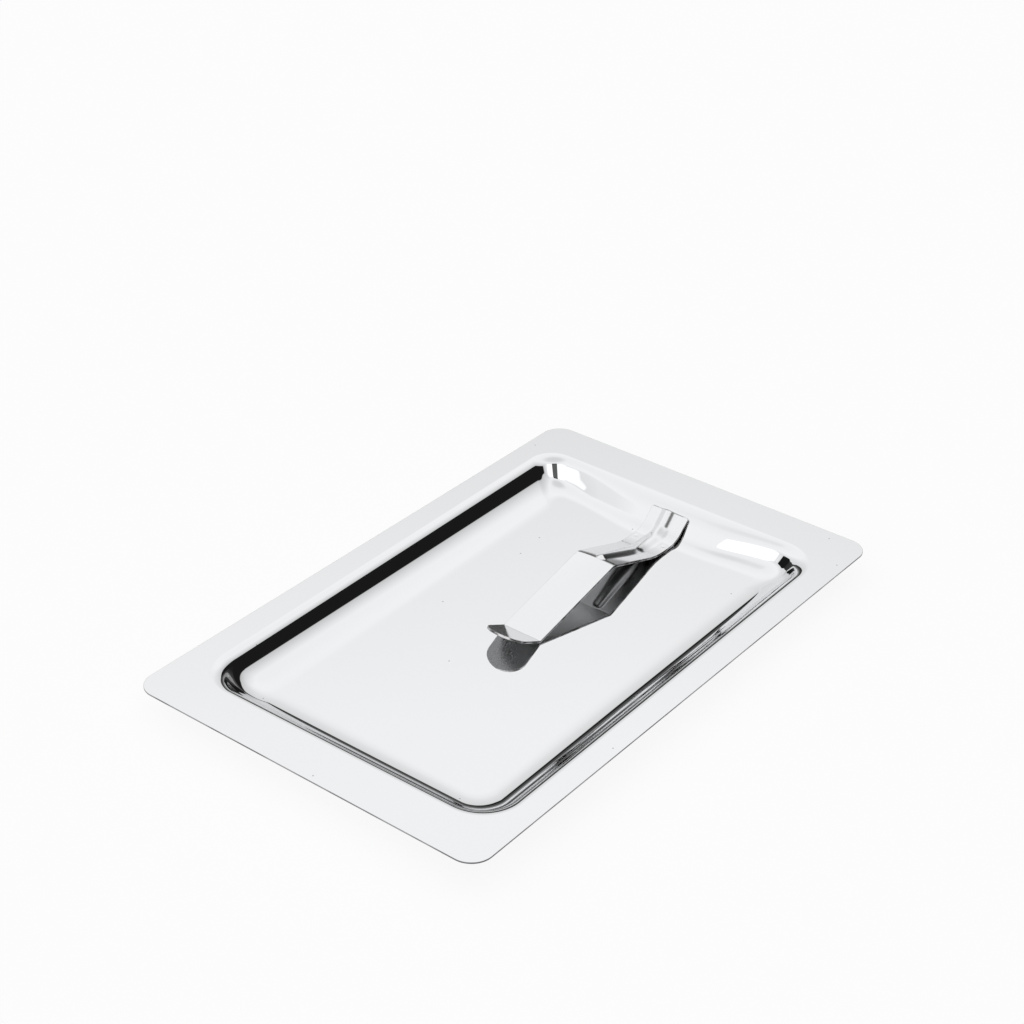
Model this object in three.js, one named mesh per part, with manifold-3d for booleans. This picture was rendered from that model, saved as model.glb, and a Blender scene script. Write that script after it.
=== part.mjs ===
// Bill tray: a pressed stainless steel pan with a sprung strip that clips notes to its floor.
// Millimetres, +Z up. The origin is under the middle of the pan, and +X points to the end that carries the clip.

import * as THREE from 'three';
import { mergeVertices } from 'three/addons/utils/BufferGeometryUtils.js';
import Module from 'manifold-3d';

const wasm = await Module();
wasm.setup();

// Pan
const trayLength = 220;
const trayWidth = 137.4;
const traySheet = 0.6;
const panDepth = 9;
const rimAtEnds = 16;
const rimAtSides = 7.9;
const outerCorner = 7.5;
const panCorner = 16.5;
const floorCorner = 4.5;
const wallRun = 16.6;
const shoulderRadius = 5.9;

// Clip
const clipWidth = 15.4;
const clipSheet = 0.8;
const footToFillet = 1.2;
const footLength = 3.6;
const rearRun = 31.8;
const frontRun = 40.7;
const ridgeHeight = 10.4;
const rearBend = 29;
const ridgeBend = 0.7;
const tipBend = 0.9;
const tailBend = 9.5;
const tailAngle = THREE.MathUtils.degToRad(42);
const tailStraight = 6.3;
const lipAngle = THREE.MathUtils.degToRad(26.7);
const lipLength = 14.3;
const lipNose = 5.8;
const tipClearance = 0.1;

// Stiffening bead, pressed up along the middle of the clip from the ridge to the tail's end
const beadWidth = 4.4;
const beadHeight = 1.2;
const beadPastRidge = 1;

// Line across the rear leaf that the clip bends about, and the slit there between its fixed and moving halves
const flexFromFoot = 8;
const flexGap = 0.4;

// Spot welds between the foot and the floor, and the dents of the welding tips on top of the foot
const weldFromEdge = 1.8;
const weldDiameter = 3.2;
const weldHeight = 0.4;
const dentDiameter = 3;
const dentFloorDiameter = 1.8;
const dentDepth = 0.3;

// Fineness of the round stretches
const cornerSteps = 8;
const wallSteps = 6;
const bendSteps = 4;
const sweepSteps = 5;
const noseSteps = 7;
const beadSteps = 3;
const weldSides = 24;

const floorTop = traySheet;
const rimTop = floorTop + panDepth;
const panHalfLength = trayLength / 2 - rimAtEnds;
const panHalfWidth = trayWidth / 2 - rimAtSides;

// An even run of count + 1 values from start to end.
function evenSteps(start, end, count) {
  return Array.from({ length: count + 1 }, (_, i) => start + ((end - start) * i) / count);
}

function geometryFrom(points, triangles) {
  const geometry = new THREE.BufferGeometry();
  geometry.setAttribute('position', new THREE.Float32BufferAttribute(points.flat(), 3));
  geometry.setIndex(triangles.flat());
  geometry.computeVertexNormals();
  return geometry;
}

// A closed skin over a run of rings with equal counts. Each end ring is shut by a fan.
function loft(rings) {
  const count = rings[0].length;
  const points = rings.flat();
  const triangles = [];
  for (let ring = 0; ring + 1 < rings.length; ring += 1) {
    for (let i = 0; i < count; i += 1) {
      const here = ring * count + i;
      const beside = ring * count + ((i + 1) % count);
      triangles.push([here, here + count, beside + count], [here, beside + count, beside]);
    }
  }
  const centre = (ring) => [0, 1, 2].map((axis) => ring.reduce((sum, point) => sum + point[axis], 0) / count);
  const first = points.push(centre(rings[0])) - 1;
  const last = points.push(centre(rings[rings.length - 1])) - 1;
  const lastRing = (rings.length - 1) * count;
  for (let i = 0; i < count; i += 1) {
    const next = (i + 1) % count;
    triangles.push([first, i, next], [last, lastRing + next, lastRing + i]);
  }
  return geometryFrom(points, triangles);
}

// One level ring of the pan: a rectangle with round corners, anticlockwise from above.
function roundRectangle(halfLength, halfWidth, radius, z) {
  const points = [];
  for (let corner = 0; corner < 4; corner += 1) {
    const start = (corner * Math.PI) / 2;
    const centreX = (halfLength - radius) * (corner === 0 || corner === 3 ? 1 : -1);
    const centreY = (halfWidth - radius) * (corner < 2 ? 1 : -1);
    for (const turn of evenSteps(start, start + Math.PI / 2, cornerSteps)) {
      points.push([centreX + radius * Math.cos(turn), centreY + radius * Math.sin(turn), z]);
    }
  }
  return points;
}

// A ring at a distance in from the pan's opening. Its corners tighten towards the floor.
function panRing(inset, z) {
  const radius = panCorner + ((floorCorner - panCorner) * inset) / wallRun;
  return roundRectangle(panHalfLength - inset, panHalfWidth - inset, radius, z);
}

// The pan's wall is two tangent arcs: a fillet that leaves the floor and a shoulder that rolls into the rim.
// The underside is the same wall, one sheet lower along its slope.
function panGeometry() {
  const slope = 2 * Math.atan(panDepth / wallRun);
  const filletRadius = wallRun / Math.sin(slope) - shoulderRadius;
  const fillet = evenSteps(0, slope, wallSteps).map((tilt) => ({
    tilt,
    inset: wallRun - filletRadius * Math.sin(tilt),
    z: floorTop + filletRadius * (1 - Math.cos(tilt)),
  }));
  const shoulder = evenSteps(slope, 0, wallSteps).slice(1).map((tilt) => ({
    tilt,
    inset: shoulderRadius * Math.sin(tilt),
    z: rimTop - shoulderRadius * (1 - Math.cos(tilt)),
  }));
  const wall = [...fillet, ...shoulder];
  const above = wall.map(({ inset, z }) => panRing(inset, z));
  const below = wall.map(({ tilt, inset, z }) =>
    panRing(inset - traySheet * Math.sin(tilt), z - traySheet * Math.cos(tilt)));
  const edge = [rimTop, rimTop - traySheet].map((z) =>
    roundRectangle(trayLength / 2, trayWidth / 2, outerCorner, z));
  return loft([...above, ...edge, ...below.reverse()]);
}

// The middle line of a bent strip in side view, laid towards +X. Each station has its place, its slope above
// level and its distance along the strip.
class StripPath {
  constructor(x, z, slope) {
    this.stations = [{ x, z, slope, along: 0 }];
  }

  get end() {
    return this.stations[this.stations.length - 1];
  }

  straight(length, count = 1) {
    const { x, z, slope, along } = this.end;
    for (const run of evenSteps(0, length, count).slice(1)) {
      this.stations.push({
        x: x + run * Math.cos(slope),
        z: z + run * Math.sin(slope),
        slope,
        along: along + run,
      });
    }
  }

  bend(radius, sweep, count) {
    const { x, z, slope, along } = this.end;
    const reach = radius * Math.sign(sweep);
    for (const turn of evenSteps(0, sweep, count).slice(1)) {
      this.stations.push({
        x: x + reach * (Math.sin(slope + turn) - Math.sin(slope)),
        z: z - reach * (Math.cos(slope + turn) - Math.cos(slope)),
        slope: slope + turn,
        along: along + reach * turn,
      });
    }
  }

  moveEndTo(x, z) {
    const shiftX = x - this.end.x;
    const shiftZ = z - this.end.z;
    for (const station of this.stations) {
      station.x += shiftX;
      station.z += shiftZ;
    }
  }
}

const footFront = panHalfLength - wallRun - footToFillet - footLength;
const footMiddle = floorTop + weldHeight + clipSheet / 2;
const tipMiddle = floorTop + tipClearance + clipSheet / 2;
const ridgeMiddle = floorTop + ridgeHeight - clipSheet / 2;

// The rear leaf is straight from the ridge until it touches the arc that sweeps it into the foot.
const centreAboveRidge = footMiddle + rearBend - ridgeMiddle;
const rearStraight = Math.sqrt(rearRun ** 2 + centreAboveRidge ** 2 - rearBend ** 2);
const rearAngle = Math.atan2(rearRun, centreAboveRidge) - Math.atan2(rearStraight, rearBend);
const frontAngle = Math.atan2(ridgeMiddle - tipMiddle, frontRun);

// What each sharp bend takes from the straight stretches that meet there.
const ridgeSetback = ridgeBend * Math.tan((frontAngle + rearAngle) / 2);
const tipSetback = tipBend * Math.tan((frontAngle + lipAngle) / 2);

// A point of the rear sweep, at a distance along it from the foot.
function onRearSweep(distance) {
  const slope = distance / rearBend;
  return {
    x: footFront - rearBend * Math.sin(slope),
    z: footMiddle + rearBend * (1 - Math.cos(slope)),
    slope: -slope,
  };
}

// Half width of the lip's round nose, as half an ellipse, and of the plain strip behind it.
function halfWidthAt(along, noseReach) {
  const intoNose = Math.max(noseReach - along, 0) / lipNose;
  return (clipWidth / 2) * Math.sqrt(1 - intoNose ** 2);
}

// The bead's height has a cosine section, and its end at the ridge is round in plan.
function beadAt(pastRidge, y) {
  const beforeEnd = Math.max(beadPastRidge - pastRidge, 0);
  const fromCrest = Math.hypot(beforeEnd, y) / (beadWidth / 2);
  return fromCrest < 1 ? (beadHeight * (1 + Math.cos(Math.PI * fromCrest))) / 2 : 0;
}

// Shares of the half width at which the strip is cut into lengthwise rows, closest over the bead.
const beadShares = evenSteps(-1, 1, 2 * beadSteps).map((share) => (share * beadWidth) / clipWidth);
const rowShares = [-1, ...beadShares, 1];

// A bent sheet as a closed solid: a ring of points round the strip at each station.
function stripGeometry(stations) {
  const rings = stations.map(({ x, z, slope, halfWidth, pastRidge }) => {
    const lift = (y, side) => {
      const height = (side * clipSheet) / 2 + beadAt(pastRidge, y);
      return [x - height * Math.sin(slope), y, z + height * Math.cos(slope)];
    };
    const rows = rowShares.map((share) => share * halfWidth);
    return [...rows.map((y) => lift(y, -1)), ...rows.reverse().map((y) => lift(y, 1))];
  });
  return loft(rings.reverse());
}

// Lip, front leaf, ridge and most of the rear leaf, from the nose to the flex line.
function leafGeometry() {
  const noseShares = evenSteps(Math.PI / 2, 0, noseSteps).slice(1).map(Math.sin);
  const noseReach = lipNose * noseShares[0];
  const path = new StripPath(0, 0, -lipAngle);
  for (let i = 1; i < noseShares.length; i += 1) {
    path.straight(lipNose * (noseShares[i - 1] - noseShares[i]));
  }
  path.straight(lipLength - lipNose - tipSetback);
  path.bend(tipBend, lipAngle + frontAngle, bendSteps);
  const frontLength = Math.hypot(frontRun, ridgeMiddle - tipMiddle) - ridgeSetback - tipSetback;
  path.straight(frontLength - beadWidth / 2);
  path.straight(beadWidth / 2, beadSteps);
  path.bend(ridgeBend, -frontAngle - rearAngle, bendSteps);
  const ridge = path.end.along - (ridgeBend * (frontAngle + rearAngle)) / 2;
  path.straight(beadPastRidge, beadSteps);
  path.straight(rearStraight - ridgeSetback - beadPastRidge, sweepSteps);
  const cut = onRearSweep(flexFromFoot + flexGap / 2);
  path.bend(rearBend, rearAngle + cut.slope, sweepSteps);
  path.moveEndTo(cut.x, cut.z);
  return stripGeometry(path.stations.map((station) => ({
    ...station,
    halfWidth: halfWidthAt(station.along, noseReach),
    pastRidge: station.along - ridge,
  })));
}

// Foot of the rear leaf, flat pad and tail, from the flex line to the tail's end.
function footGeometry() {
  const cut = onRearSweep(flexFromFoot - flexGap / 2);
  const path = new StripPath(cut.x, cut.z, cut.slope);
  path.bend(rearBend, -cut.slope, sweepSteps);
  path.straight(footLength);
  path.bend(tailBend, tailAngle, sweepSteps);
  path.straight(tailStraight);
  return stripGeometry(path.stations.map((station) => ({
    ...station,
    halfWidth: clipWidth / 2,
    pastRidge: Infinity,
  })));
}

function solidFrom(geometry) {
  const bare = geometry.clone();
  bare.deleteAttribute('normal');
  bare.deleteAttribute('uv');
  const merged = mergeVertices(bare);
  return new wasm.Manifold(new wasm.Mesh({
    numProp: 3,
    vertProperties: new Float32Array(merged.attributes.position.array),
    triVerts: new Uint32Array(merged.index.array),
  }));
}

function geometryFromSolid(solid) {
  const { vertProperties, triVerts } = solid.getMesh();
  const geometry = new THREE.BufferGeometry();
  geometry.setAttribute('position', new THREE.BufferAttribute(vertProperties, 3));
  geometry.setIndex(new THREE.BufferAttribute(triVerts, 1));
  geometry.computeVertexNormals();
  return geometry;
}

// Middle of the pad, with one weld each side of the bead.
const weldX = footFront + footLength / 2;
const weldY = clipWidth / 2 - weldFromEdge;
const weldPlaces = { weld_spot_left: weldY, weld_spot_right: -weldY };

// The blunt cone of a welding tip, half sunk into the foot.
function weldingTip(y) {
  const upperRadius = dentDiameter - dentFloorDiameter / 2;
  const lowerRadius = dentFloorDiameter / 2;
  const cone = new THREE.CylinderGeometry(upperRadius, lowerRadius, 2 * dentDepth, weldSides);
  cone.rotateX(Math.PI / 2);
  cone.translate(weldX, y, footMiddle + clipSheet / 2);
  return cone;
}

function dentedFoot() {
  const dents = Object.values(weldPlaces).map((y) => solidFrom(weldingTip(y)));
  return geometryFromSolid(dents.reduce((foot, dent) => foot.subtract(dent), solidFrom(footGeometry())));
}

function weldGeometry() {
  const outline = new THREE.Shape();
  outline.absarc(0, 0, weldDiameter / 2, 0, 2 * Math.PI);
  return new THREE.ExtrudeGeometry(outline, { depth: weldHeight, bevelEnabled: false, curveSegments: weldSides });
}

function steelMesh(name, geometry, color, roughness) {
  const material = new THREE.MeshStandardMaterial({ color, roughness, metalness: 1 });
  const mesh = new THREE.Mesh(geometry, material);
  mesh.name = name;
  return mesh;
}

const billTray = new THREE.Group();
billTray.add(steelMesh('tray_pan', panGeometry(), 0xd9dbdd, 0.06));
billTray.add(steelMesh('clip_foot', dentedFoot(), 0xd4d6d8, 0.1));
billTray.add(steelMesh('clip_leaf', leafGeometry(), 0xd4d6d8, 0.1));
for (const [name, y] of Object.entries(weldPlaces)) {
  const weld = steelMesh(name, weldGeometry(), 0x9a9b9d, 0.45);
  weld.position.set(weldX, y, floorTop);
  billTray.add(weld);
}

export default billTray;
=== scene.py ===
import math

import bmesh
import bpy
import numpy as np
from mathutils import Matrix, Vector


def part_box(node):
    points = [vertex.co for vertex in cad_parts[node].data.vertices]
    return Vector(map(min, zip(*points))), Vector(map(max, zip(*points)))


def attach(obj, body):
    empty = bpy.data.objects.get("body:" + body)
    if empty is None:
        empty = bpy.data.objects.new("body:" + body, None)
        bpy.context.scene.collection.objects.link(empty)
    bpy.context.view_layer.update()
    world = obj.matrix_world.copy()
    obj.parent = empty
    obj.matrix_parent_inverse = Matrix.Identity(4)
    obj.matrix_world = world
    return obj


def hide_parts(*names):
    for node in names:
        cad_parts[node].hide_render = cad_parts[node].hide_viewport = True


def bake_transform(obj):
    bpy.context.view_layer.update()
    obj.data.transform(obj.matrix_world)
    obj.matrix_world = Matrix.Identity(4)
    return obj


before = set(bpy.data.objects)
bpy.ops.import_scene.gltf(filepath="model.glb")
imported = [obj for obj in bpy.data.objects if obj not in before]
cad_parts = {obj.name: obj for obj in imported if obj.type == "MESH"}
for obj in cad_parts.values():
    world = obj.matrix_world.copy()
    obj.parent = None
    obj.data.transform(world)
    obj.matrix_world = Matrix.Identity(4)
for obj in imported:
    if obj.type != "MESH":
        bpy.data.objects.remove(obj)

scene = bpy.context.scene
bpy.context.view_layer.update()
mm = 0.001
mergeWithin = 1e-7  # metres
quarterTurn = math.pi / 2


class Wire:
    # one value in a node tree; its operators add Math nodes
    def __init__(self, tree, socket=None):
        self.tree = tree
        self.socket = socket

    def node(self, kind, settings=None, sockets=None, out=0):
        # a new node with its settings and inputs, as the value of one of its outputs
        made = self.tree.nodes.new("ShaderNode" + kind)
        for name, value in (settings or {}).items():
            if name == "stops":
                ramp = made.color_ramp.elements
                while len(ramp) < len(value):
                    ramp.new(1.0)
                for stop, (position, grey) in zip(ramp, value):
                    stop.position = position
                    stop.color = (grey, grey, grey, 1.0)
            else:
                setattr(made, name, value)
        for name, value in (sockets or {}).items():
            if isinstance(value, Wire):
                self.tree.links.new(value.socket, made.inputs[name])
            else:
                made.inputs[name].default_value = value
        return Wire(self.tree, made.outputs[out] if made.outputs else None)

    def sibling(self, out):
        # another output of the node this value comes from
        return Wire(self.tree, self.socket.node.outputs[out])

    def maths(self, operation, *terms):
        return self.node("Math", {"operation": operation}, dict(enumerate(terms)))

    def mix(self, share, first, second):
        return self.node("Mix", {"data_type": "RGBA"}, {0: share, 6: first, 7: second}, 2)

    def noise(self, place, scale, detail=2.0, roughness=0.5):
        return self.node("TexNoise", {}, {"Vector": place, "Scale": scale, "Detail": detail,
                                          "Roughness": roughness}, "Fac")

    def rise(self, low, high):
        # 0 below low, 1 above high, a smooth step between them
        return self.node("MapRange", {"interpolation_type": "SMOOTHSTEP"},
                         {"Value": self, "From Min": low, "From Max": high})

    def __add__(self, other):
        return self.maths("ADD", self, other)

    def __radd__(self, other):
        return self.maths("ADD", other, self)

    def __sub__(self, other):
        return self.maths("SUBTRACT", self, other)

    def __rsub__(self, other):
        return self.maths("SUBTRACT", other, self)

    def __mul__(self, other):
        return self.maths("MULTIPLY", self, other)

    def __rmul__(self, other):
        return self.maths("MULTIPLY", other, self)


def newMaterial(name):
    material = bpy.data.materials.new(name)
    material.use_nodes = True
    material.node_tree.nodes.clear()
    return material, Wire(material.node_tree)


def gridFaces(rows, columns, around):
    # quads between neighbouring rows and columns; around joins the last column to the first
    steps = columns if around else columns - 1
    row, column = np.meshgrid(np.arange(rows - 1), np.arange(steps), indexing="ij")
    after = (column + 1) % columns
    corners = [row * columns + column, row * columns + after,
               (row + 1) * columns + after, (row + 1) * columns + column]
    return np.stack(corners, axis=-1).reshape(-1, 4)


def newPiece(name, grids, marks, material):
    # grids: (points in mm, closed around) pairs, merged into one closed skin; marks: attribute name to values
    points, faces = [], []
    count = 0
    for grid, around in grids:
        rows, columns = grid.shape[:2]
        faces.append(gridFaces(rows, columns, around) + count)
        points.append(grid.reshape(-1, 3) * mm)
        count += rows * columns
    mesh = bpy.data.meshes.new(name)
    mesh.from_pydata(np.concatenate(points).tolist(), [], np.concatenate(faces).tolist())
    for mark, values in marks.items():
        layer = mesh.attributes.new(mark, "FLOAT", "POINT")
        layer.data.foreach_set("value", np.ravel(values).astype(np.float32))
    work = bmesh.new()
    work.from_mesh(mesh)
    bmesh.ops.remove_doubles(work, verts=work.verts, dist=mergeWithin)
    bmesh.ops.recalc_face_normals(work, faces=work.faces)
    work.to_mesh(mesh)
    work.free()
    mesh.shade_smooth()
    mesh.materials.append(material)
    piece = bpy.data.objects.new(name, mesh)
    scene.collection.objects.link(piece)
    return piece


# steel finishes

# underShadeColour is painted shade: the clip's underside gets a darker colour because it lies in shadow
steel = dict(
    colour=(0.787, 0.792, 0.802, 1.0), speckColour=(0.20, 0.19, 0.18, 1.0),
    underShadeColour=(0.35, 0.35, 0.35, 1.0), underRough=0.17, bumpHeight=0.0001,
    hazeScale=45.0, hazeDetail=3.0, hazeRange=(0.35, 0.75), hazeInBump=0.5,
    lineDetail=4.0, lineRoughness=0.6, lineRange=(0.4, 0.8), edgeDashRange=(0.40, 0.58),
    speckScale=75.0, speckSize=(0.012, 0.026), speckShade=0.7, speckPick=0.02)
# the tray's cut edges: a rougher sheared face whose two dark colours are painted shade
trayFinish = dict(
    rough=0.02, hazy=0.004, lineScale=(60.0, 700.0, 700.0), lineDepth=0.0, speckShare=0.14,
    edgePaintedLightColours=((0.18, 0.18, 0.19, 1.0), (0.33, 0.33, 0.34, 1.0)), edgeDashScale=70.0, edgeRough=0.3)
# the clip's cut edges: a rougher sheared face whose colours swap between painted shade and painted glints
clipFinish = dict(
    rough=0.10, hazy=0.025, lineScale=(40.0, 1200.0, 1200.0), lineDepth=0.003, speckShare=0.05,
    edgePaintedLightColours=((0.15, 0.15, 0.15, 1.0), (0.62, 0.62, 0.63, 1.0)), edgeDashScale=260.0, edgeRough=0.1)
weldFinish = dict(
    colour=(0.42, 0.41, 0.40, 1.0), tintColour=(0.36, 0.30, 0.24, 1.0), tintScale=260.0,
    tintRange=(0.45, 0.75), mottleScale=900.0, mottleDetail=4.0, bump=0.3, leastRough=0.3, mottleRough=0.3)


def polishedSteel(name, finish):
    # mirror steel: cloudy haze and fine polishing lines in the gloss, a few dark specks, a rougher underside
    # whose darker colour is painted shade, and rougher cut edges whose two colours, changing along their
    # length, are painted shade and, on the clip, painted glints
    material, wire = newMaterial(name)
    place = wire.node("TexCoord", out="Object")
    haze = wire.noise(place, steel["hazeScale"], steel["hazeDetail"])
    stretched = wire.node("Mapping", {}, {"Vector": place, "Scale": finish["lineScale"]})
    lines = wire.noise(stretched, 1.0, steel["lineDetail"], steel["lineRoughness"])
    cells = wire.node("TexVoronoi", {"voronoi_dimensions": "2D"},
                      {"Vector": place, "Scale": steel["speckScale"]}, "Distance")
    leastPick = 1 - finish["speckShare"]
    picked = wire.node("SeparateColor", {}, {"Color": cells.sibling("Color")})
    specks = (1 - cells.rise(*steel["speckSize"])) * picked.rise(leastPick, leastPick + steel["speckPick"])
    cut = wire.node("Attribute", {"attribute_name": "cutEdge"}, out="Fac")
    under = wire.node("Attribute", {"attribute_name": "underside"}, out="Fac")
    # dashes along the cut edges that pick one of the two painted edge colours
    edgeDashes = wire.noise(place, finish["edgeDashScale"]).rise(*steel["edgeDashRange"])
    colour = wire.mix(specks * steel["speckShade"], steel["colour"], steel["speckColour"])
    # painted shade on the clip's underside, which darkens its colour
    colour = wire.mix(under, colour, steel["underShadeColour"])
    # painted shade, and on the clip painted glints, in place of the steel's colour on the cut edges
    colour = wire.mix(cut, colour, wire.mix(edgeDashes, *finish["edgePaintedLightColours"]))
    cloudy = haze.rise(*steel["hazeRange"]) + lines.rise(*steel["lineRange"])
    gloss = finish["rough"] + finish["hazy"] * cloudy
    gloss = gloss + steel["underRough"] * under + finish["edgeRough"] * cut
    bump = wire.node("Bump", {}, {"Strength": finish["lineDepth"], "Distance": steel["bumpHeight"],
                                  "Height": lines + steel["hazeInBump"] * haze})
    surface = wire.node("BsdfPrincipled", {}, {"Base Color": colour, "Metallic": 1.0, "Roughness": gloss,
                                               "Normal": bump})
    wire.node("OutputMaterial", {}, {"Surface": surface})
    return material


def fusedSteel(name, finish):
    # weld metal: mottled dull grey with patches of heat tint
    material, wire = newMaterial(name)
    place = wire.node("TexCoord", out="Object")
    mottle = wire.noise(place, finish["mottleScale"], finish["mottleDetail"])
    tint = wire.noise(place, finish["tintScale"]).rise(*finish["tintRange"])
    colour = wire.mix(tint, finish["colour"], finish["tintColour"])
    rough = finish["leastRough"] + finish["mottleRough"] * mottle
    bump = wire.node("Bump", {}, {"Strength": finish["bump"], "Distance": steel["bumpHeight"],
                                  "Height": mottle})
    surface = wire.node("BsdfPrincipled", {}, {"Base Color": colour, "Metallic": 1.0, "Roughness": rough,
                                               "Normal": bump})
    wire.node("OutputMaterial", {}, {"Surface": surface})
    return material


traySteel = polishedSteel("tray_steel", trayFinish)
clipSteel = polishedSteel("clip_steel", clipFinish)
weldSteel = fusedSteel("weld_steel", weldFinish)
print("steel finishes made")


# tray pan: outlines of a rounded rectangle carried along the section of the sheet

trayLow, trayHigh = [np.array(corner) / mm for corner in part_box("tray_pan")]
tray = dict(
    halfLength=(trayHigh[0] - trayLow[0]) / 2, halfWidth=(trayHigh[1] - trayLow[1]) / 2, rimTop=trayHigh[2],
    sheet=0.6, rimAtEnds=16.0, rimAtSides=8.45, outerCorner=7.5, edgeRound=0.12,
    panCorners=(9.5, 15.0, 15.0, 15.0), panTurn=0.45, panShift=(0.0, -0.35), floorCorner=4.5,
    middleFloor=20.0, wallRun=20.0, wallSlope=56.0, shoulderRadius=5.0, softStart=0.5,
    tightRuns=(16.5, 14.4), tightShoulders=(5.4, 4.6),  # at the corner on -Y, at the one on +Y
    tightSlope=58.0, endSoftStart=0.8,
    slackRun=18.4, slackSlope=50.0, slackShoulder=10.5, slackHalf=14.0, slackBlend=34.0,
    steepMiddle=7.4, steepHalf=28.7, steepBlend=15.0,
    cornerSteps=28, longSteps=64, shortSteps=44, filletSteps=72, flankSteps=6, shoulderSteps=48, edgeSteps=6,
    middleShares=(0.0, 0.5, 1.0), floorShares=(0.25, 0.5, 0.75, 0.9, 0.97, 0.99),
    rimShares=(0.01, 0.05, 0.15, 0.35, 0.6, 0.85, 0.96, 0.99, 1.0), underEvery=3)
openLength = tray["halfLength"] - tray["rimAtEnds"]
openWidth = tray["halfWidth"] - tray["rimAtSides"]


def outlineColumns():
    # for each point of an outline: its corner, its turn in quarters, its share of the side after the corner
    turns, shares, quarters = [], [], []
    steps = tray["cornerSteps"]
    for quarter in range(4):
        side = tray["shortSteps"] if quarter % 2 else tray["longSteps"]
        turns += [np.linspace(quarter, quarter + 1, steps + 1), np.full(side - 1, quarter + 1.0)]
        shares += [np.zeros(steps + 1), np.arange(1, side) / side]
        quarters += [np.full(steps + side, quarter)]
    return np.concatenate(quarters), np.concatenate(turns), np.concatenate(shares)


columnQuarter, columnTurn, columnShare = outlineColumns()


def outlineOf(halfLength, halfWidth, corner):
    # four corner arcs, joined by straight sides shared out evenly; corner is one radius, or one for each
    signX, signY = np.array([1, -1, -1, 1.0]), np.array([1, 1, -1, -1.0])
    corner = np.broadcast_to(corner, 4)
    radius = corner[columnQuarter] + (corner[(columnQuarter + 1) % 4] - corner[columnQuarter]) * columnShare
    turn = columnTurn * quarterTurn
    onArc = radius[:, None] * np.stack([np.cos(turn), np.sin(turn)], axis=-1)
    centres = np.stack([signX * (halfLength - corner), signY * (halfWidth - corner)], axis=-1)
    here, after = centres[columnQuarter], centres[(columnQuarter + 1) % 4]
    return onArc + here + (after - here) * columnShare[:, None]


def smoothly(share):
    # a smooth step from 0 to 1: three times the square, less twice the cube
    share = np.clip(share, 0, 1)
    return share * share * (3 - 2 * share)


def wallColumns(opening):
    # slope, run, shoulder radius and soft start of the wall round the pan: it is drawn tight at the two
    # corners by the clip and slack between them
    byClip = (columnQuarter == 3) & (columnShare > 0)
    facing = smoothly(np.cos(columnTurn * quarterTurn))
    side = np.where(opening[:, 1] < 0, 0, 1)

    def blended(even, drawnTight, drawnSlack, middle, half, blend):
        # the even value, plus its change to the tight one at the corners and to the slack one between them
        tight = np.where(byClip, smoothly((np.abs(opening[:, 1] - middle) - half) / blend), facing)
        slack = np.where(byClip, 1 - tight, 0)
        return even + (drawnTight - even) * tight + (drawnSlack - even) * slack

    gently = (0.0, tray["slackHalf"], tray["slackBlend"])
    soon = (tray["steepMiddle"], tray["steepHalf"], tray["steepBlend"])
    tightRun, tightShoulder = np.take(tray["tightRuns"], side), np.take(tray["tightShoulders"], side)
    slope = np.radians(blended(tray["wallSlope"], tray["tightSlope"], tray["slackSlope"], *soon))
    run = blended(tray["wallRun"], tightRun, tray["slackRun"], *gently)
    shoulder = blended(tray["shoulderRadius"], tightShoulder, tray["slackShoulder"], *gently)
    soft = blended(tray["softStart"], tray["endSoftStart"], tray["endSoftStart"], *gently)
    return slope, run, shoulder, soft


def runningSum(values):
    # area below evenly spaced values, up to each of them
    sums = np.cumsum((values[1:] + values[:-1]) / 2, axis=0) / (len(values) - 1)
    return np.concatenate([np.zeros((1, values.shape[1])), sums])


def wallSection(slope, run, shoulder, soft):
    # tilt, inset from the opening and height of each ring: a fillet that starts softly, a straight flank and
    # a round shoulder; the lengths of the fillet and the flank follow from the run and the depth
    depth = tray["rimTop"] - tray["sheet"]
    share = np.linspace(0, 1, tray["filletSteps"] + 1)[:, None]
    rise = slope * np.where(share < soft, share ** 2 / (2 * soft), share - soft / 2) / (1 - soft / 2)
    across, upward = runningSum(np.cos(rise)), runningSum(np.sin(rise))
    leftRun, leftDepth = run - shoulder * np.sin(slope), depth - shoulder * (1 - np.cos(slope))
    fillet = (leftRun * np.sin(slope) - leftDepth * np.cos(slope)) / (
        across[-1] * np.sin(slope) - upward[-1] * np.cos(slope))
    flank = (leftDepth - fillet * upward[-1]) / np.sin(slope)
    step = np.linspace(0, 1, tray["flankSteps"] + 1)[1:, None] * flank
    fall = np.linspace(1, 0, tray["shoulderSteps"] + 1)[1:, None] * slope
    tilt = np.concatenate([rise, 0 * step + slope, fall])
    filletInset, filletHeight = run - fillet * across, tray["sheet"] + fillet * upward
    inset = np.concatenate([filletInset, filletInset[-1] - step * np.cos(slope), shoulder * np.sin(fall)])
    height = np.concatenate([filletHeight, filletHeight[-1] + step * np.sin(slope),
                             tray["rimTop"] - shoulder * (1 - np.cos(fall))])
    print("flank of the wall from", round(flank.min(), 2), "to", round(flank.max(), 2), "mm")
    return tilt, inset, height


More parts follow.
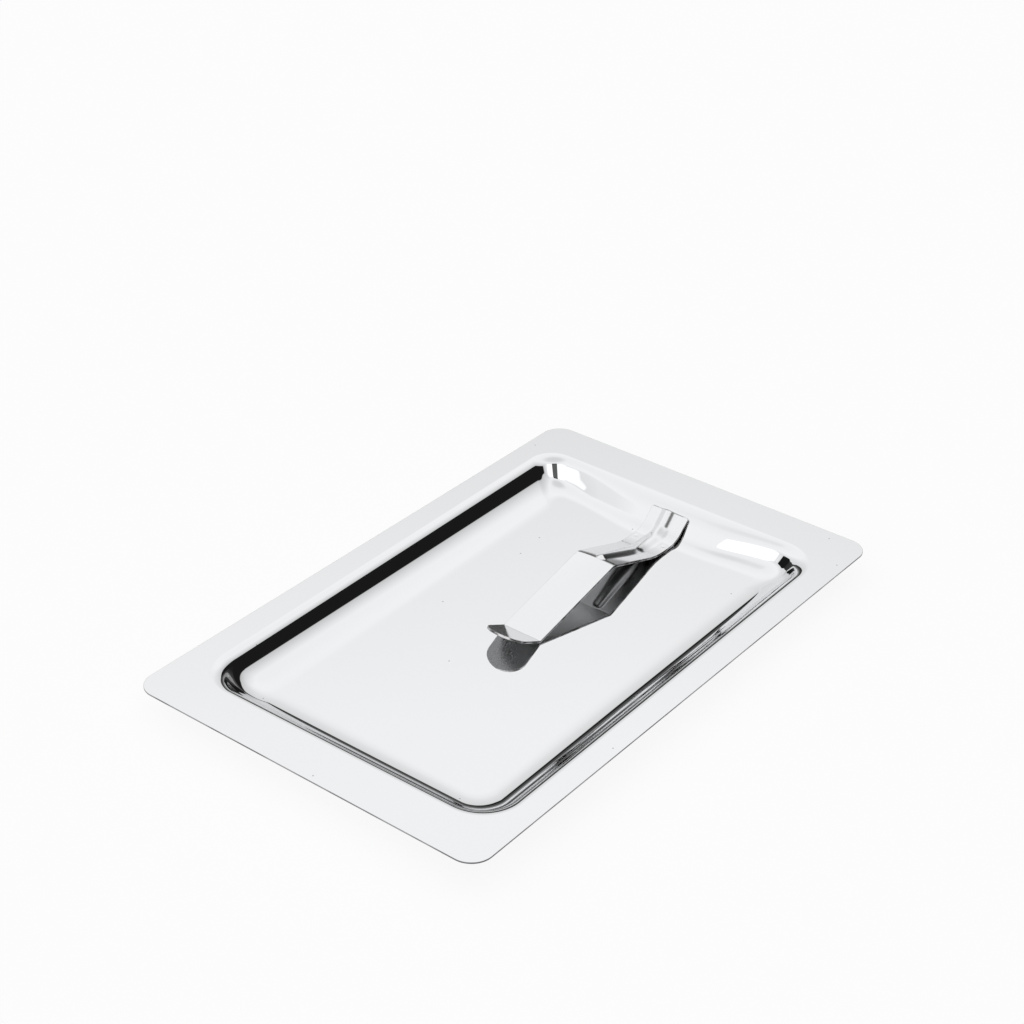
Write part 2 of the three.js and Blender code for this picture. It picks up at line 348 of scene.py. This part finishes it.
def trayRings():
    # from the middle of the floor over the wall, the rim and the cut edge, and back along the underside; the
    # pan is turned and shifted a little against the rim
    edge, sheet, rimTop = tray["edgeRound"], tray["sheet"], tray["rimTop"]
    reach, inside = tray["wallRun"], tray["wallRun"] + tray["middleFloor"]
    turned, shift = math.radians(tray["panTurn"]), tray["panShift"]
    askew = np.array([[math.cos(turned), math.sin(turned)], [-math.sin(turned), math.cos(turned)]])
    opening = outlineOf(openLength, openWidth, tray["panCorners"]) @ askew + shift
    evenFoot = outlineOf(openLength - reach, openWidth - reach, tray["floorCorner"]) @ askew + shift
    inward = (evenFoot - opening) / reach
    slope, run, shoulder, soft = wallColumns(opening)
    tilt, inset, height = wallSection(slope, run, shoulder, soft)
    wallFoot = opening + inward * run[:, None]
    middle = outlineOf(openLength - inside, openWidth - inside, tray["floorCorner"]) @ askew
    middleShares, floorShares, rimShares = [np.array(tray[name])[:, None, None] for name in
                                            ("middleShares", "floorShares", "rimShares")]

    def level(places, heights):
        # points from places in plan and their heights
        return np.concatenate([places, np.broadcast_to(heights, places.shape[:2])[..., None]], axis=-1)

    def edgeOutline(inwards):
        # the outside of the rim, drawn in evenly
        return outlineOf(tray["halfLength"] - inwards, tray["halfWidth"] - inwards,
                         tray["outerCorner"] - inwards)

    rimOutline = edgeOutline(edge)

    def flat(height):
        # rings from the middle of the floor out to the foot of the wall
        outside = middle + (wallFoot - middle) * floorShares
        return level(np.concatenate([middle * middleShares, outside]), height)

    def wall(down):
        # down is the depth below the sheet's upper face
        off = inset - down * np.sin(tilt)
        return level(opening + inward * off[..., None], height - down * np.cos(tilt))

    def rim(height):
        # rings from the opening out to the rim's edge
        return level(opening + (rimOutline - opening) * rimShares, height)

    # a quarter round off the top, the sheared face, a quarter round to the underside
    turn = np.linspace(0, quarterTurn, tray["edgeSteps"])[1:]
    back = edge * (1 - np.sin(np.concatenate([turn, turn[::-1]])))
    drop = np.concatenate([edge * (1 - np.cos(turn)), sheet - edge * (1 - np.cos(turn[::-1]))])
    cutEdge = level(np.stack([edgeOutline(inwards) for inwards in back]), (rimTop - drop)[:, None])
    above = [flat(sheet), wall(0.0), rim(rimTop)]
    below = [rim(rimTop - sheet)[::-1], wall(sheet)[::-tray["underEvery"]], flat(0.0)[::-1]]
    # the tray's cut edge is marked for its rougher gloss and its painted shade
    cut = np.concatenate([np.zeros(sum(map(len, above))), 1 - back / edge, np.zeros(sum(map(len, below)))])
    return np.concatenate([*above, cutEdge, *below]), cut


trayGrid, ringCut = trayRings()
trayMarks = np.broadcast_to(ringCut[:, None], trayGrid.shape[:2])
trayPan = newPiece("trayPan", [(trayGrid, True)], {"cutEdge": trayMarks}, traySteel)
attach(trayPan, "tray")
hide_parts("tray_pan")
print("tray pan made,", len(trayPan.data.polygons), "faces")


# clip: one bent strip, its section carried along a path in the plane of the tray's length

clip = dict(
    width=15.4, sheet=0.8, floorTop=0.6, floorEnd=77.4, footToFillet=1.2, footLength=3.6, footGap=0.4,
    rearRun=31.8, frontRun=40.7, ridgeHeight=10.4, rearBend=29.0, ridgeBend=0.7, easeBend=18.0, easeAngle=8.0,
    tipBend=0.9, tipGap=0.275, lipAngle=26.7, lipLength=14.3, lipNose=5.8,
    tailBend=9.5, tailAngle=42.0, tailStraight=6.3, tailCorner=0.8,
    beadWidth=7.4, beadStartWidth=4.6, beadTaper=22.0, beadHeight=0.95, beadTailHeight=1.05,
    beadPastRidge=2.4, beadAtRidge=-1.0, beadAtTail=0.5, ridgeCrown=0.45, crownReach=13.0,
    edgeRound=0.12, weldIn=1.8, dentDepth=0.1, dentWidth=2.0, burrWidth=0.45,
    pathStep=0.005, pathSpare=1.0, acrossSteps=60, edgeSteps=5, noseSteps=24, tailSteps=8,
    stretchSteps=(10, 12, 70, 16, 10, 40, 36, 16, 30, 14),
    flexStart=(0.0740, 0, 0.0014), flexEnd=(0.0555, 0, 0.0055))


def clipPath():
    # knots of the strip's slope against the length along it, from the lip's nose to the tail's end
    footMiddle = clip["floorTop"] + clip["footGap"] + clip["sheet"] / 2
    tipMiddle = clip["floorTop"] + clip["tipGap"] + clip["sheet"] / 2
    ridgeMiddle = clip["floorTop"] + clip["ridgeHeight"] - clip["sheet"] / 2
    centreAboveRidge = footMiddle + clip["rearBend"] - ridgeMiddle
    rearStraight = math.sqrt(clip["rearRun"] ** 2 + centreAboveRidge ** 2 - clip["rearBend"] ** 2)
    rearAngle = math.atan2(clip["rearRun"], centreAboveRidge) - math.atan2(rearStraight, clip["rearBend"])
    frontAngle = math.atan2(ridgeMiddle - tipMiddle, clip["frontRun"])
    lipAngle, tailAngle = math.radians(clip["lipAngle"]), math.radians(clip["tailAngle"])
    ridgeCut = clip["ridgeBend"] * math.tan((frontAngle + rearAngle) / 2)
    tipCut = clip["tipBend"] * math.tan((lipAngle + frontAngle) / 2)
    frontLeaf = math.hypot(clip["frontRun"], ridgeMiddle - tipMiddle) - ridgeCut - tipCut
    ease = math.radians(clip["easeAngle"])
    easeLength = clip["easeBend"] * ease
    lengths = [clip["lipLength"] - tipCut, clip["tipBend"] * (lipAngle + frontAngle), frontLeaf,
               clip["ridgeBend"] * (frontAngle + rearAngle - ease), easeLength,
               rearStraight - ridgeCut - easeLength, clip["rearBend"] * rearAngle, clip["footLength"],
               clip["tailBend"] * tailAngle, clip["tailStraight"]]
    slopes = [-lipAngle, -lipAngle, frontAngle, frontAngle, ease - rearAngle, -rearAngle, -rearAngle, 0, 0,
              tailAngle, tailAngle]
    return np.concatenate([[0], np.cumsum(lengths)]), np.array(slopes), footMiddle


knots, knotSlopes, footMiddle = clipPath()
ridgeAlong, footAlong, tailEnd = (knots[3] + knots[4]) / 2, knots[7], knots[-1]
fineAlong = np.arange(-clip["pathSpare"], tailEnd + clip["pathSpare"], clip["pathStep"])
fineSlope = np.interp(fineAlong, knots, knotSlopes)
fineX = np.cumsum(np.cos(fineSlope)) * clip["pathStep"]
fineZ = np.cumsum(np.sin(fineSlope)) * clip["pathStep"]
footFront = clip["floorEnd"] - clip["footToFillet"] - clip["footLength"]
fineX += footFront - np.interp(footAlong, fineAlong, fineX)
fineZ += footMiddle - np.interp(footAlong, fineAlong, fineZ)


def humped(off):
    # 1 in the middle, falling along half a cosine wave to 0 at a distance of 1
    return (1 + np.cos(math.pi * np.minimum(off, 1))) / 2


def clipPoints(along, across, level):
    # the path's point, plus the level along its normal; the bead and the crown raise the level, and on the
    # upper face the weld dents lower it
    half = clip["width"] / 2
    past = along - ridgeAlong
    beadRun = [0, tailEnd - ridgeAlong]
    beadMiddle = np.interp(past, beadRun, [clip["beadAtRidge"], clip["beadAtTail"]])
    beadHeight = np.interp(past, beadRun, [clip["beadHeight"], clip["beadTailHeight"]])
    widening = (clip["beadWidth"] - clip["beadStartWidth"]) * smoothly(past / clip["beadTaper"])
    beadHalf = (clip["beadStartWidth"] + widening) / 2
    beadOff = np.hypot(np.maximum(clip["beadPastRidge"] - past, 0), across - beadMiddle) / beadHalf
    crown = clip["ridgeCrown"] * (1 - (across / half) ** 2) * np.exp(-(past / clip["crownReach"]) ** 2)
    dentOff = np.hypot(along - footAlong - clip["weldIn"], np.abs(across) - half + clip["weldIn"])
    dent = clip["dentDepth"] * humped(dentOff / (clip["dentWidth"] / 2))
    lift = level + beadHeight * humped(beadOff) + crown - np.where(level > 0, dent, 0)
    slope = np.interp(along, fineAlong, fineSlope)
    x = np.interp(along, fineAlong, fineX) - lift * np.sin(slope)
    z = np.interp(along, fineAlong, fineZ) + lift * np.cos(slope)
    return np.stack([x, across, z], axis=-1)


def clipOutline():
    # stations along the strip: how far along and how wide, and how both change where the edge is drawn in
    half, nose, tail = clip["width"] / 2, clip["lipNose"], clip["tailCorner"]
    noseTurn = np.linspace(0, quarterTurn, clip["noseSteps"] + 1)
    tailTurn = np.linspace(0, quarterTurn, clip["tailSteps"] + 1)
    stops = np.array([nose, *knots[1:-1], tailEnd - tail])
    stretches = zip(stops[:-1], stops[1:], clip["stretchSteps"])
    middle = np.concatenate([np.linspace(low, high, count + 1)[1:] for low, high, count in stretches])[:-1]
    along = np.concatenate([nose * (1 - np.cos(noseTurn)), middle, tailEnd - tail + tail * np.sin(tailTurn)])
    wide = np.concatenate([half * np.sin(noseTurn), np.full_like(middle, half),
                           half - tail + tail * np.cos(tailTurn)])
    alongIn = np.concatenate([np.cos(noseTurn), np.zeros_like(middle), -np.sin(tailTurn)])
    wideIn = np.concatenate([-np.sin(noseTurn), np.full_like(middle, -1.0), -np.cos(tailTurn)])
    return along, wide, alongIn, wideIn


def clipGrids():
    # the section runs over the top, round one edge, back underneath and round the other edge
    thick, edge = clip["sheet"] / 2, clip["edgeRound"]
    turn = np.linspace(0, quarterTurn, clip["edgeSteps"])
    edgeIn = edge * (1 - np.sin(np.concatenate([turn, turn[::-1]])))
    edgeLevel = np.concatenate([thick - edge * (1 - np.cos(turn)), -thick + edge * (1 - np.cos(turn[::-1]))])
    over = np.linspace(-1, 1, clip["acrossSteps"] + 1)
    face = np.ones_like(over)
    share = np.concatenate([over, np.ones(edgeIn.size - 2), -over, -np.ones(edgeIn.size - 2)])
    drawnIn = np.concatenate([edge * face, edgeIn[1:-1], edge * face, edgeIn[-2:0:-1]])
    level = np.concatenate([thick * face, edgeLevel[1:-1], -thick * face, edgeLevel[-2:0:-1]])
    along, wide, alongIn, wideIn = [values[:, None] for values in clipOutline()]
    skin = clipPoints(along + alongIn * drawnIn, share * (wide + wideIn * drawnIn),
                      np.broadcast_to(level, (along.size, level.size)))
    capAlong = (along[-1] - edgeIn)[:, None] + 0 * over
    cap = clipPoints(capAlong, over * wide[-1] + 0 * edgeIn[:, None], edgeLevel[:, None] + 0 * over)
    # the cut edges and a thin strip of the top at the tail's end carry the painted edge colours: painted
    # shade and painted glints
    burr = np.clip(1 - (tailEnd - along) / clip["burrWidth"], 0, 1) * (level > 0)
    cut = np.maximum(burr, 1 - drawnIn / edge)
    # the underside mark carries painted shade in the colour, and a rougher gloss
    under = np.broadcast_to(np.where(level < -thick + edge / 2, 1.0, 0.0), skin.shape[:2])
    capCut = np.broadcast_to((1 - edgeIn / edge)[:, None], cap.shape[:2])
    return [(skin, True), (cap, False)], {
        "cutEdge": np.concatenate([cut.ravel(), capCut.ravel()]),
        "underside": np.concatenate([under.ravel(), np.zeros(capCut.size)])}


grids, marks = clipGrids()
clipStrip = newPiece("clipStrip", grids, marks, clipSteel)
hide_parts("clip_foot", "clip_leaf")
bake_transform(clipStrip)
print("clip strip made,", len(clipStrip.data.polygons), "faces")

for weld in ("weld_spot_left", "weld_spot_right"):
    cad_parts[weld].data.materials.clear()
    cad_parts[weld].data.materials.append(weldSteel)
print("welds finished")


# studio: white surroundings with dark areas low down, a pale floor, and the photograph's camera; all angles
# are in degrees, the surroundings' from +X towards +Y and the camera's azimuth from -Y towards +X

studio = dict(
    darkTops=[(-180, 0), (-124, 0), (-112, 20), (-80, 38), (-39, 35.4), (4, 24), (20, 15.5), (33, 15.5),
              (45, 18.7), (70, 15), (84, 8), (90, 12), (97, 14), (101, 22), (126, 23.5), (129, 0), (180, 0)],
    edgeLights=[(-180, 1), (-120, 1), (-80, 0.62), (-10, 0.62), (30, 0.95), (45, 0.92), (60, 0.95), (90, 1),
                (180, 1)],
    lightByHeight=[(0, 0.84), (20, 0.90), (29, 0.97), (33, 1.05), (37, 1.11), (45, 1.10), (62, 1.06),
                   (75, 0.85), (90, 0.82)],
    darkLights=[(-180, 0.03), (-20, 0.016), (10, 0.09), (25, 0.085), (60, 0.075), (100, 0.03), (180, 0.03)],
    lowTops=[(-180, 0), (-12, 0), (0, 9), (16, 9), (24, 6.8), (45, 7.5), (70, 8), (90, 0), (180, 0)],
    softTops=[(-180, 50), (-95, 50), (-90, 0), (129, 0), (131, 24), (138, 24), (145, 28.2), (152, 28.2),
              (165, 43), (180, 50)],
    edgeWidth=24.0, darkSoft=0.8, deepLight=0.012, deepFrom=(12.0, 15.0), lowLight=0.3, lowFrom=(2.0, 6.0),
    softLight=0.35, cameraWay=-142.0, cameraHalf=16.0, cameraSideSoft=2.0, cameraTop=57.0, cameraTopSoft=1.0,
    cameraGrey=0.03, cameraLowGrey=0.13, cameraGreyFrom=(50.0, 53.0),
    floorColour=(0.97, 0.97, 0.97, 1.0), paperColour=(0.90, 0.90, 0.90, 1.0), paperShare=0.06, paperScale=6.0,
    floorRough=0.9, floorWhite=0.86, floorHalf=3.0, floorBelow=0.0001)
view = dict(azimuth=-52.673, elevation=31.310, roll=1.351, lens=75.906, place=(-0.47427, -0.35640, 0.40935),
            sensor=36.0, nearest=0.01, farthest=20.0)

world = bpy.data.worlds.new("studio")
world.use_nodes = True
world.node_tree.nodes.clear()
scene.world = world
sky = Wire(world.node_tree)
towards = sky.node("SeparateXYZ", {}, {"Vector": sky.node("TexCoord", out="Generated")}, "X")
across, upward = towards.sibling("Y"), towards.sibling("Z")
azimuth = sky.maths("ARCTAN2", across, towards) * math.degrees(1)
elevation = sky.maths("ARCSINE", upward) * math.degrees(1)


def rampOf(angle, low, high, stops, full):
    # a value by compass direction or height, in straight lines between its stops
    ramp = [((way - low) / (high - low), value / full) for way, value in stops]
    return sky.node("ValToRGB", {"stops": ramp}, {"Fac": (angle - low) * (1 / (high - low))}) * full


def around(name, full):
    # a value by compass direction
    return rampOf(azimuth, -180, 180, studio[name], full)


def below(height, soft):
    # 1 below a height, 0 above it
    return 1 - elevation.rise(height - soft, height + soft)


darkTop, softTop, lowTop = around("darkTops", 90), around("softTops", 90), around("lowTops", 90)
edgeLight, darkLight = around("edgeLights", 1), around("darkLights", 1)
light = rampOf(elevation, 0, 90, studio["lightByHeight"], 2)
soft = studio["darkSoft"]

# the white part: dimmer just above the dark areas, brighter in the soft boxes
aboveEdge = sky.node("MapRange", {}, {"Value": elevation - darkTop, "From Max": studio["edgeWidth"]})
light = light * (edgeLight + (1 - edgeLight) * aboveEdge) + studio["softLight"] * below(softTop, soft)

# the dark areas: deepest at the top, with a lighter band low down in some directions
deepLight = sky.maths("MINIMUM", darkLight, studio["deepLight"])
darkLight = darkLight + (deepLight - darkLight) * elevation.rise(*studio["deepFrom"])
lowBand = below(lowTop, soft) * lowTop.rise(*studio["lowFrom"])
darkLight = darkLight + (studio["lowLight"] - darkLight) * lowBand
light = light + (darkLight - light) * below(darkTop, soft)

# the camera and whoever stands behind it
offCamera = sky.maths("ABSOLUTE", azimuth - studio["cameraWay"])
cameraSide, sideSoft = studio["cameraHalf"], studio["cameraSideSoft"]
cameraShade = (1 - offCamera.rise(cameraSide - sideSoft, cameraSide + sideSoft)) * below(
    studio["cameraTop"], studio["cameraTopSoft"])
greyChange = studio["cameraGrey"] - studio["cameraLowGrey"]
cameraGrey = studio["cameraLowGrey"] + greyChange * elevation.rise(*studio["cameraGreyFrom"])
light = light + (cameraGrey - light) * cameraShade
seen = sky.node("LightPath", out="Is Camera Ray")
backdrop = sky.node("Background", {}, {"Color": (1, 1, 1, 1), "Strength": seen + (1 - seen) * light})
sky.node("OutputWorld", {}, {"Surface": backdrop})

# the floor is white to the camera and in the steel, apart from the shadow that its matt share takes
floorMaterial, wire = newMaterial("pale_floor")
paper = wire.noise(wire.node("TexCoord", out="Object"), studio["paperScale"])
floorColour = wire.mix(paper * studio["paperShare"], studio["floorColour"], studio["paperColour"])
matt = wire.node("BsdfPrincipled", {}, {"Base Color": floorColour, "Roughness": studio["floorRough"],
                                        "Specular IOR Level": 0.0})
white = wire.node("Emission", {}, {"Color": (1, 1, 1, 1), "Strength": 1.0})
path = wire.node("LightPath", out="Is Camera Ray")
direct = wire.maths("MAXIMUM", path, path.sibling("Is Glossy Ray"))
surface = wire.node("MixShader", {}, {0: direct * studio["floorWhite"], 1: matt, 2: white})
wire.node("OutputMaterial", {}, {"Surface": surface})
reach, low = studio["floorHalf"], -studio["floorBelow"]
floorCorners = [(-reach, -reach, low), (reach, -reach, low), (reach, reach, low), (-reach, reach, low)]
floorMesh = bpy.data.meshes.new("floor")
floorMesh.from_pydata(floorCorners, [], [(0, 1, 2, 3)])
floorMesh.materials.append(floorMaterial)
floor = bpy.data.objects.new("floor", floorMesh)
scene.collection.objects.link(floor)

turn, tip, roll = [math.radians(view[name]) for name in ("azimuth", "elevation", "roll")]
back = Vector((math.sin(turn) * math.cos(tip), -math.cos(turn) * math.cos(tip), math.sin(tip)))
right = Vector((0, 0, 1)).cross(back).normalized()
up = back.cross(right)
rolledRight = math.cos(roll) * right + math.sin(roll) * up
rolledUp = math.cos(roll) * up - math.sin(roll) * right
cameraAxes = Matrix([rolledRight, rolledUp, back]).transposed()
cameraData = bpy.data.cameras.new("camera")
cameraData.lens = view["lens"]
cameraData.sensor_width = view["sensor"]
cameraData.clip_start = view["nearest"]
cameraData.clip_end = view["farthest"]
camera = bpy.data.objects.new("camera", cameraData)
camera.matrix_world = Matrix.Translation(view["place"]) @ cameraAxes.to_4x4()
scene.collection.objects.link(camera)
scene.camera = camera
scene.view_settings.view_transform = "Standard"
print("studio and camera set")
